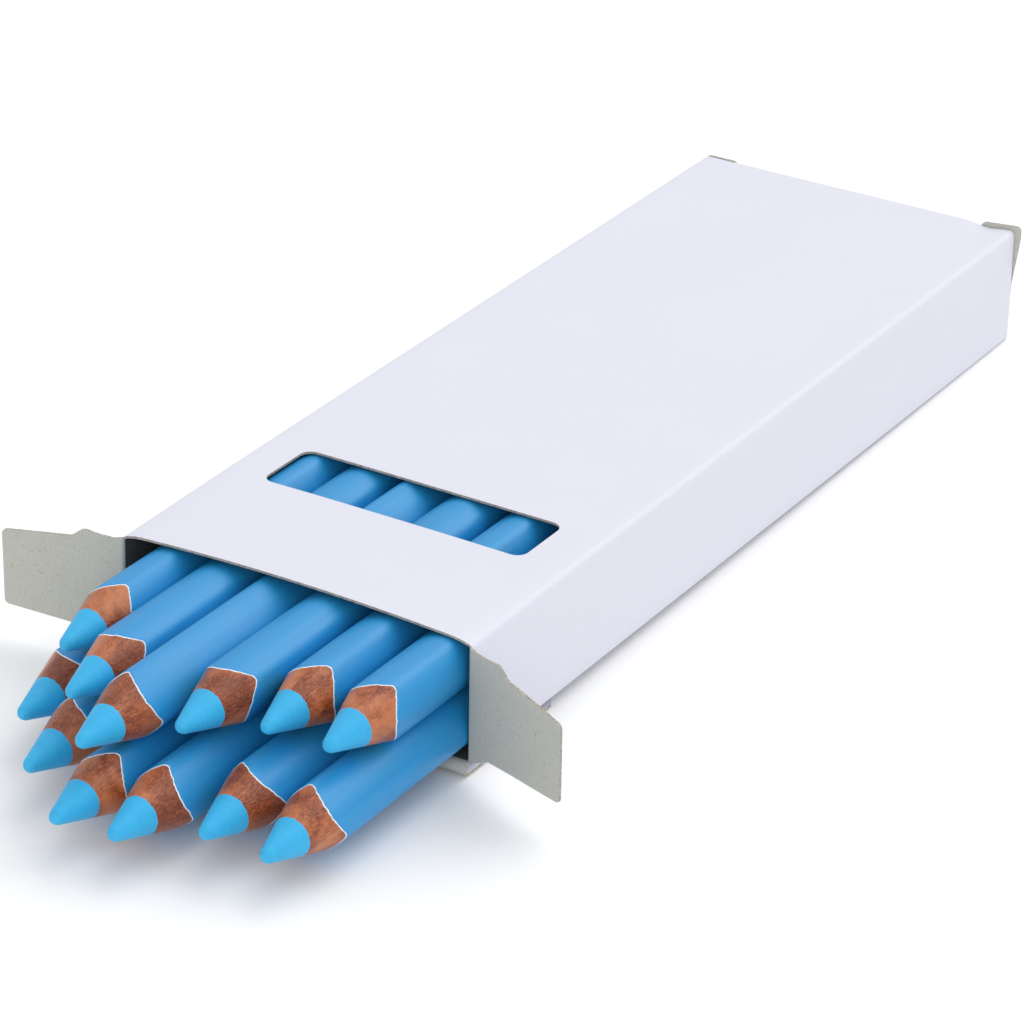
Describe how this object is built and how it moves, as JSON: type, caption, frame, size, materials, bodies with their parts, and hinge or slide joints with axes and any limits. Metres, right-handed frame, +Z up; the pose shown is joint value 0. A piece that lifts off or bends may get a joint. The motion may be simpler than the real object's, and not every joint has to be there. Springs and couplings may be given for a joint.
{
  "type": "carton of coloured pencils",
  "caption": "Flat tuck-end carton with a window, holding two rows of sharpened jumbo triangular coloured pencils partly slid out of its open end.",
  "frame": {"origin": "centre of the outer face of the carton's closed end", "axes": "+Y out of the closed end, along the carton; the open mouth and the pencil points face -Y; +Z up, +X to the right seen from the mouth"},
  "size_m": [0.1039, 0.2331, 0.0239],
  "materials": {
    "coated_board": "matte",
    "lacquer": "satin",
    "cedar": "matte",
    "colour_core": "matte"
  },
  "bodies": {
    "carton": {"top_panel": "coated_board", "bottom_panel": "coated_board", "left_side_panel": "coated_board", "right_side_panel": "coated_board"},
    "front_left_dust_flap": {"front_left_dust_flap": "coated_board"},
    "front_right_dust_flap": {"front_right_dust_flap": "coated_board"},
    "front_closure_panel": {"front_closure_panel": "coated_board"},
    "front_tuck_tongue": {"front_tuck_tongue": "coated_board"},
    "back_closure_panel": {"back_closure_panel": "coated_board"},
    "back_tuck_tongue": {"back_tuck_tongue": "coated_board"},
    "back_left_dust_flap": {"back_left_dust_flap": "coated_board"},
    "back_right_dust_flap": {"back_right_dust_flap": "coated_board"},
    "upper_pencil_1": {"upper_pencil_1_lacquer": "lacquer", "upper_pencil_1_corner_slat": "cedar", "upper_pencil_1_side_slat": "cedar", "upper_pencil_1_core": "colour_core"},
    "upper_pencil_2": {"upper_pencil_2_lacquer": "lacquer", "upper_pencil_2_corner_slat": "cedar", "upper_pencil_2_side_slat": "cedar", "upper_pencil_2_core": "colour_core"},
    "upper_pencil_3": {"upper_pencil_3_lacquer": "lacquer", "upper_pencil_3_corner_slat": "cedar", "upper_pencil_3_side_slat": "cedar", "upper_pencil_3_core": "colour_core"},
    "upper_pencil_4": {"upper_pencil_4_lacquer": "lacquer", "upper_pencil_4_corner_slat": "cedar", "upper_pencil_4_side_slat": "cedar", "upper_pencil_4_core": "colour_core"},
    "upper_pencil_5": {"upper_pencil_5_lacquer": "lacquer", "upper_pencil_5_corner_slat": "cedar", "upper_pencil_5_side_slat": "cedar", "upper_pencil_5_core": "colour_core"},
    "upper_pencil_6": {"upper_pencil_6_lacquer": "lacquer", "upper_pencil_6_corner_slat": "cedar", "upper_pencil_6_side_slat": "cedar", "upper_pencil_6_core": "colour_core"},
    "lower_pencil_1": {"lower_pencil_1_lacquer": "lacquer", "lower_pencil_1_corner_slat": "cedar", "lower_pencil_1_side_slat": "cedar", "lower_pencil_1_core": "colour_core"},
    "lower_pencil_2": {"lower_pencil_2_lacquer": "lacquer", "lower_pencil_2_corner_slat": "cedar", "lower_pencil_2_side_slat": "cedar", "lower_pencil_2_core": "colour_core"},
    "lower_pencil_3": {"lower_pencil_3_lacquer": "lacquer", "lower_pencil_3_corner_slat": "cedar", "lower_pencil_3_side_slat": "cedar", "lower_pencil_3_core": "colour_core"},
    "lower_pencil_4": {"lower_pencil_4_lacquer": "lacquer", "lower_pencil_4_corner_slat": "cedar", "lower_pencil_4_side_slat": "cedar", "lower_pencil_4_core": "colour_core"},
    "lower_pencil_5": {"lower_pencil_5_lacquer": "lacquer", "lower_pencil_5_corner_slat": "cedar", "lower_pencil_5_side_slat": "cedar", "lower_pencil_5_core": "colour_core"},
    "lower_pencil_6": {"lower_pencil_6_lacquer": "lacquer", "lower_pencil_6_corner_slat": "cedar", "lower_pencil_6_side_slat": "cedar", "lower_pencil_6_core": "colour_core"}
  },
  "joints": [
    {"name": "front_left_flap_hinge", "type": "hinge", "parent": "carton", "child": "front_left_dust_flap", "pos_m": [-0.03165, -0.18, 0], "axis": [0, 0, -1], "range_deg": [-81, 93]},
    {"name": "front_right_flap_hinge", "type": "hinge", "parent": "carton", "child": "front_right_dust_flap", "pos_m": [0.03165, -0.18, 0], "axis": [0, 0, 1], "range_deg": [-68, 106]},
    {"name": "front_closure_hinge", "type": "hinge", "parent": "carton", "child": "front_closure_panel", "pos_m": [0, -0.18, -0.01132], "axis": [-1, 0, 0], "range_deg": [0, 178]},
    {"name": "front_tongue_hinge", "type": "hinge", "parent": "front_closure_panel", "child": "front_tuck_tongue", "pos_m": [0, -0.15953, -0.01245], "axis": [1, 0, 0], "range_deg": [-95, 0]},
    {"name": "back_closure_hinge", "type": "hinge", "parent": "carton", "child": "back_closure_panel", "pos_m": [0, 0, -0.0106], "axis": [-1, 0, 0], "range_deg": [0, 90]},
    {"name": "back_tongue_hinge", "type": "hinge", "parent": "back_closure_panel", "child": "back_tuck_tongue", "pos_m": [0, -0.0004, 0.0095], "axis": [-1, 0, 0], "range_deg": [-76.5, 0]},
    {"name": "back_left_flap_hinge", "type": "hinge", "parent": "carton", "child": "back_left_dust_flap", "pos_m": [-0.0309, -0.00095, 0], "axis": [0, 0, -1], "range_deg": [0, 85]},
    {"name": "back_right_flap_hinge", "type": "hinge", "parent": "carton", "child": "back_right_dust_flap", "pos_m": [0.0309, -0.00095, 0], "axis": [0, 0, 1], "range_deg": [0, 85]},
    {"name": "upper_pencil_1_slide", "type": "slide", "parent": "carton", "child": "upper_pencil_1", "axis": [0, -1, 0], "range_m": [-0.0292, 0.1542]},
    {"name": "upper_pencil_2_slide", "type": "slide", "parent": "carton", "child": "upper_pencil_2", "axis": [0, -1, 0], "range_m": [-0.0404, 0.143]},
    {"name": "upper_pencil_3_slide", "type": "slide", "parent": "carton", "child": "upper_pencil_3", "axis": [0, -1, 0], "range_m": [-0.0504, 0.133]},
    {"name": "upper_pencil_4_slide", "type": "slide", "parent": "carton", "child": "upper_pencil_4", "axis": [0, -1, 0], "range_m": [-0.04, 0.1434]},
    {"name": "upper_pencil_5_slide", "type": "slide", "parent": "carton", "child": "upper_pencil_5", "axis": [0, -1, 0], "range_m": [-0.033, 0.1504]},
    {"name": "upper_pencil_6_slide", "type": "slide", "parent": "carton", "child": "upper_pencil_6", "axis": [0, -1, 0], "range_m": [-0.0326, 0.1508]},
    {"name": "lower_pencil_1_slide", "type": "slide", "parent": "carton", "child": "lower_pencil_1", "axis": [0, -1, 0], "range_m": [-0.0361, 0.1473]},
    {"name": "lower_pencil_2_slide", "type": "slide", "parent": "carton", "child": "lower_pencil_2", "axis": [0, -1, 0], "range_m": [-0.0471, 0.1363]},
    {"name": "lower_pencil_3_slide", "type": "slide", "parent": "carton", "child": "lower_pencil_3", "axis": [0, -1, 0], "range_m": [-0.0565, 0.1269]},
    {"name": "lower_pencil_4_slide", "type": "slide", "parent": "carton", "child": "lower_pencil_4", "axis": [0, -1, 0], "range_m": [-0.0555, 0.1279]},
    {"name": "lower_pencil_5_slide", "type": "slide", "parent": "carton", "child": "lower_pencil_5", "axis": [0, -1, 0], "range_m": [-0.0485, 0.1349]},
    {"name": "lower_pencil_6_slide", "type": "slide", "parent": "carton", "child": "lower_pencil_6", "axis": [0, -1, 0], "range_m": [-0.0486, 0.1348]}
  ],
  "couplings": [
    {"joint": "back_tongue_hinge", "follows": "back_closure_hinge", "ratio": -0.85}
  ]
}
